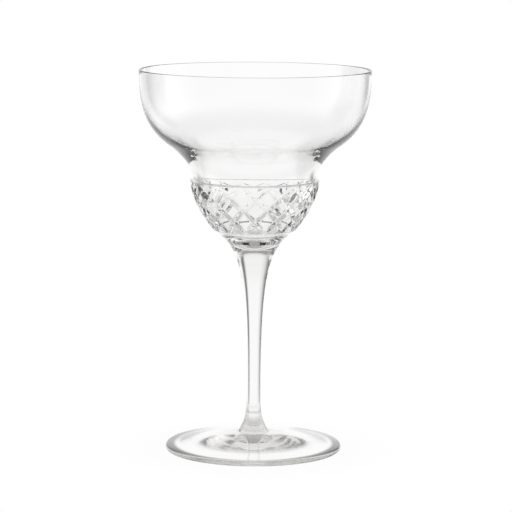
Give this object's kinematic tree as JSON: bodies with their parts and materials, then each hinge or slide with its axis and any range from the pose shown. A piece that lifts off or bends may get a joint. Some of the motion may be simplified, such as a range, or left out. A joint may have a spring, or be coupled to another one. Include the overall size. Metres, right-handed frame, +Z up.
{
  "type": "margarita glass",
  "caption": "Clear stemmed margarita glass: wide bowl stepping down to a small diamond-cut cup, slim drawn stem and round foot.",
  "frame": {"origin": "centre of the foot on the surface that the glass stands on", "axes": "+Z up along the glass's axis of revolution, from the foot to the rim; +X to the right and -Y to the front of the picture"},
  "size_m": [0.11, 0.11, 0.182],
  "materials": {
    "glass": "fire-polished clear crystal glass, very smooth"
  },
  "bodies": {
    "root": {"bowl": "glass", "stem": "glass", "foot": "glass"}
  },
  "joints": []
}
